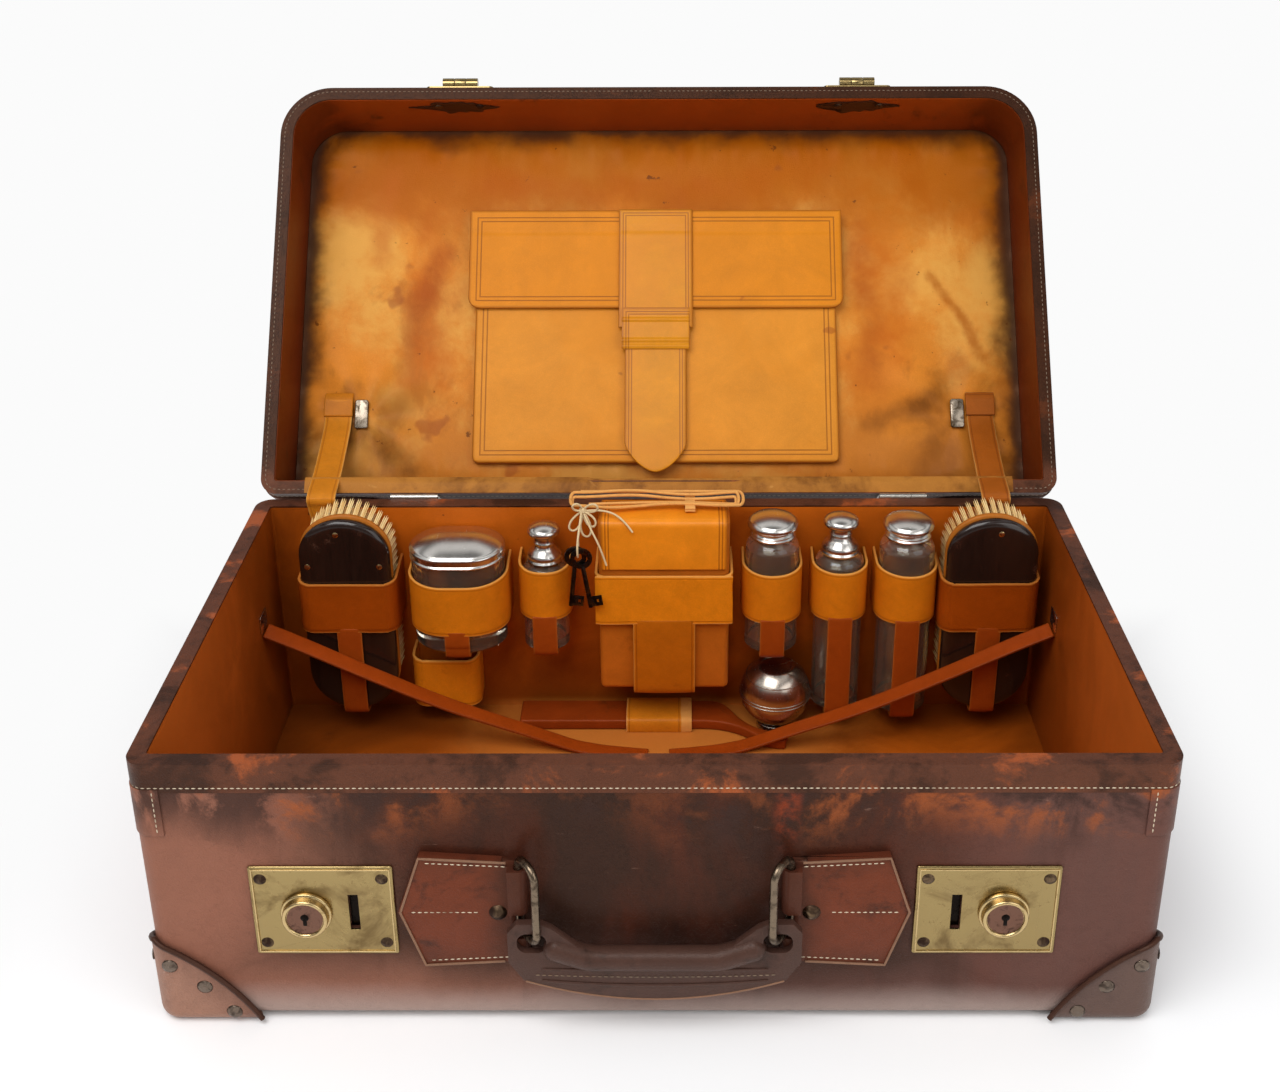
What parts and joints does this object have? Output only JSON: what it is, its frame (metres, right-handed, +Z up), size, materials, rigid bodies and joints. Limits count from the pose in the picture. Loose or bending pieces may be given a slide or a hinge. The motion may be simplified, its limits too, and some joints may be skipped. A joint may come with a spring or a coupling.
{
  "type": "fitted dressing case",
  "caption": "Antique leather fitted dressing case, open, with bottles, jar, brushes and wallet in loops, padded lid with folder, slide locks and handle.",
  "frame": {"origin": "on the table, under the middle of the base", "axes": "+Z up, -Y towards the front with the locks and handle, +X to the right as seen from the front"},
  "size_m": [0.5692, 0.6149, 0.4321],
  "materials": {
    "case_leather": "dark red-brown hide, rubbed and scuffed, with blackened patches",
    "binding_leather": "stitched binding, worn to near black and orange",
    "patch_leather": "thick moulded corner leather, rubbed pale",
    "lining_leather": "orange-tan skiver with dark stains",
    "lid_lining_leather": "golden tan padded lining, stained at the edges",
    "loop_leather": "light tan strap leather",
    "folder_leather": "tan leather with tooled double border lines",
    "lace_leather": "pale leather lace",
    "aged_brass": "aged brass with dark tarnish",
    "nickel": "worn nickel plate",
    "steel": "dark steel",
    "silver": "polished silver with fine scratches",
    "bottle_glass": "clear glass",
    "ebony": "polished ebony",
    "bristle": "pale natural bristle",
    "string_fibre": "cream twisted string"
  },
  "bodies": {
    "base": {"base_shell": "case_leather", "base_rim_band": "binding_leather", "base_lining": "lining_leather", "base_corner_patches": "patch_leather", "base_rivets": "aged_brass", "lock_plates": "aged_brass", "brass_rivets": "aged_brass", "handle_chapes": "case_leather", "hinge_base_leaves": "nickel", "packing_straps": "loop_leather", "strap_anchors": "nickel", "brush_loops": "loop_leather", "bottle_loops": "loop_leather", "jar_loop": "loop_leather", "wallet_loop": "loop_leather", "spare_loop": "loop_leather", "floor_loop": "loop_leather", "stays": "loop_leather", "leather_sleeve": "case_leather"},
    "lid": {"lid_shell": "case_leather", "lid_rim_band": "binding_leather", "lid_lining": "lid_lining_leather", "lid_corner_patches": "patch_leather", "lid_rivets": "aged_brass", "folder_body": "folder_leather", "stay_anchors": "nickel", "hasp_plates": "aged_brass", "hinge_lid_leaves": "nickel"},
    "flap": {"folder_flap": "folder_leather", "folder_strap": "folder_leather"},
    "left_hasp": {"hasp_left": "aged_brass"},
    "right_hasp": {"hasp_right": "aged_brass"},
    "left_nozzle": {"lock_nozzle_left": "aged_brass"},
    "right_nozzle": {"lock_nozzle_right": "aged_brass"},
    "left_ring": {"handle_ring_left": "aged_brass"},
    "right_ring": {"handle_ring_right": "aged_brass"},
    "handle": {"handle_grip": "case_leather"},
    "left_brush": {"brush_left_back": "ebony", "brush_left_bristles": "bristle"},
    "right_brush": {"brush_right_back": "ebony", "brush_right_bristles": "bristle"},
    "jar": {"jar_glass": "bottle_glass"},
    "jar_cover": {"jar_lid": "silver"},
    "short_bottle": {"bottle_short_glass": "bottle_glass"},
    "short_cap": {"bottle_short_cap": "silver"},
    "second_bottle": {"bottle_two_glass": "bottle_glass"},
    "second_cap": {"bottle_two_cap": "silver"},
    "third_bottle": {"bottle_three_glass": "bottle_glass"},
    "third_cap": {"bottle_three_cap": "silver"},
    "fourth_bottle": {"bottle_four_glass": "bottle_glass"},
    "fourth_cap": {"bottle_four_cap": "silver"},
    "wallet": {"wallet_body": "folder_leather", "wallet_flap": "folder_leather"},
    "lace": {"lace_hank": "lace_leather", "string": "string_fibre", "keys": "steel"},
    "ball": {"silver_ball": "silver"}
  },
  "joints": [
    {"name": "lid_hinge", "type": "hinge", "parent": "base", "child": "lid", "pos_m": [0, 0.1562, 0.1762], "axis": [-1, 0, 0], "range_deg": [-126, 0], "deforming": ["stays"]},
    {"name": "folder_flap_fold", "type": "hinge", "parent": "lid", "child": "flap", "pos_m": [0, 0.33231, 0.33217], "axis": [-1, 0, 0], "range_deg": [0, 110]},
    {"name": "left_hasp_hinge", "type": "hinge", "parent": "lid", "child": "left_hasp", "pos_m": [-0.149, 0.34562, 0.42806], "axis": [1, 0, 0], "range_deg": [0, 180]},
    {"name": "right_hasp_hinge", "type": "hinge", "parent": "lid", "child": "right_hasp", "pos_m": [0.149, 0.34562, 0.42806], "axis": [1, 0, 0], "range_deg": [0, 180]},
    {"name": "left_lock_slide", "type": "slide", "parent": "base", "child": "left_nozzle", "axis": [-1, 0, 0], "range_m": [0, 0.006], "stiffness_N_per_m": 120},
    {"name": "right_lock_slide", "type": "slide", "parent": "base", "child": "right_nozzle", "axis": [1, 0, 0], "range_m": [0, 0.006], "stiffness_N_per_m": 120},
    {"name": "left_ring_swivel", "type": "hinge", "parent": "base", "child": "left_ring", "pos_m": [-0.0735, -0.158, 0.096], "axis": [0, 0, -1], "range_deg": [0, 6]},
    {"name": "right_ring_swivel", "type": "hinge", "parent": "base", "child": "right_ring", "pos_m": [0.0735, -0.158, 0.096], "axis": [0, 0, 1], "range_deg": [0, 6]},
    {"name": "handle_swing", "type": "hinge", "parent": "base", "child": "handle", "pos_m": [0, -0.165, 0.07875], "axis": [-1, 0, 0], "range_deg": [0, 90]},
    {"name": "left_brush_lift", "type": "slide", "parent": "base", "child": "left_brush", "axis": [0, 0, 1], "range_m": [0, 0.12]},
    {"name": "right_brush_lift", "type": "slide", "parent": "base", "child": "right_brush", "axis": [0, 0, 1], "range_m": [0, 0.12]},
    {"name": "jar_lift", "type": "slide", "parent": "base", "child": "jar", "axis": [0, 0, 1], "range_m": [0, 0.07]},
    {"name": "jar_lid_lift", "type": "slide", "parent": "jar", "child": "jar_cover", "axis": [0, 0, 1], "range_m": [0, 0.025]},
    {"name": "short_bottle_lift", "type": "slide", "parent": "base", "child": "short_bottle", "axis": [0, 0, 1], "range_m": [0, 0.08]},
    {"name": "short_cap_lift", "type": "slide", "parent": "short_bottle", "child": "short_cap", "axis": [0, 0, 1], "range_m": [0, 0.02]},
    {"name": "second_bottle_lift", "type": "slide", "parent": "base", "child": "second_bottle", "axis": [0, 0, 1], "range_m": [0, 0.08]},
    {"name": "second_cap_lift", "type": "slide", "parent": "second_bottle", "child": "second_cap", "axis": [0, 0, 1], "range_m": [0, 0.02]},
    {"name": "third_bottle_lift", "type": "slide", "parent": "base", "child": "third_bottle", "axis": [0, 0, 1], "range_m": [0, 0.125]},
    {"name": "third_cap_lift", "type": "slide", "parent": "third_bottle", "child": "third_cap", "axis": [0, 0, 1], "range_m": [0, 0.02]},
    {"name": "fourth_bottle_lift", "type": "slide", "parent": "base", "child": "fourth_bottle", "axis": [0, 0, 1], "range_m": [0, 0.125]},
    {"name": "fourth_cap_lift", "type": "slide", "parent": "fourth_bottle", "child": "fourth_cap", "axis": [0, 0, 1], "range_m": [0, 0.02]},
    {"name": "wallet_lift", "type": "slide", "parent": "base", "child": "wallet", "axis": [0, 0, 1], "range_m": [0, 0.105]},
    {"name": "lace_lift", "type": "slide", "parent": "wallet", "child": "lace", "axis": [0, 0, 1], "range_m": [0, 0.06]},
    {"name": "ball_turn", "type": "hinge", "parent": "base", "child": "ball", "pos_m": [0.083, 0.1175, 0.04], "axis": [0, 0, 1], "range_deg": [-180, 180]}
  ]
}
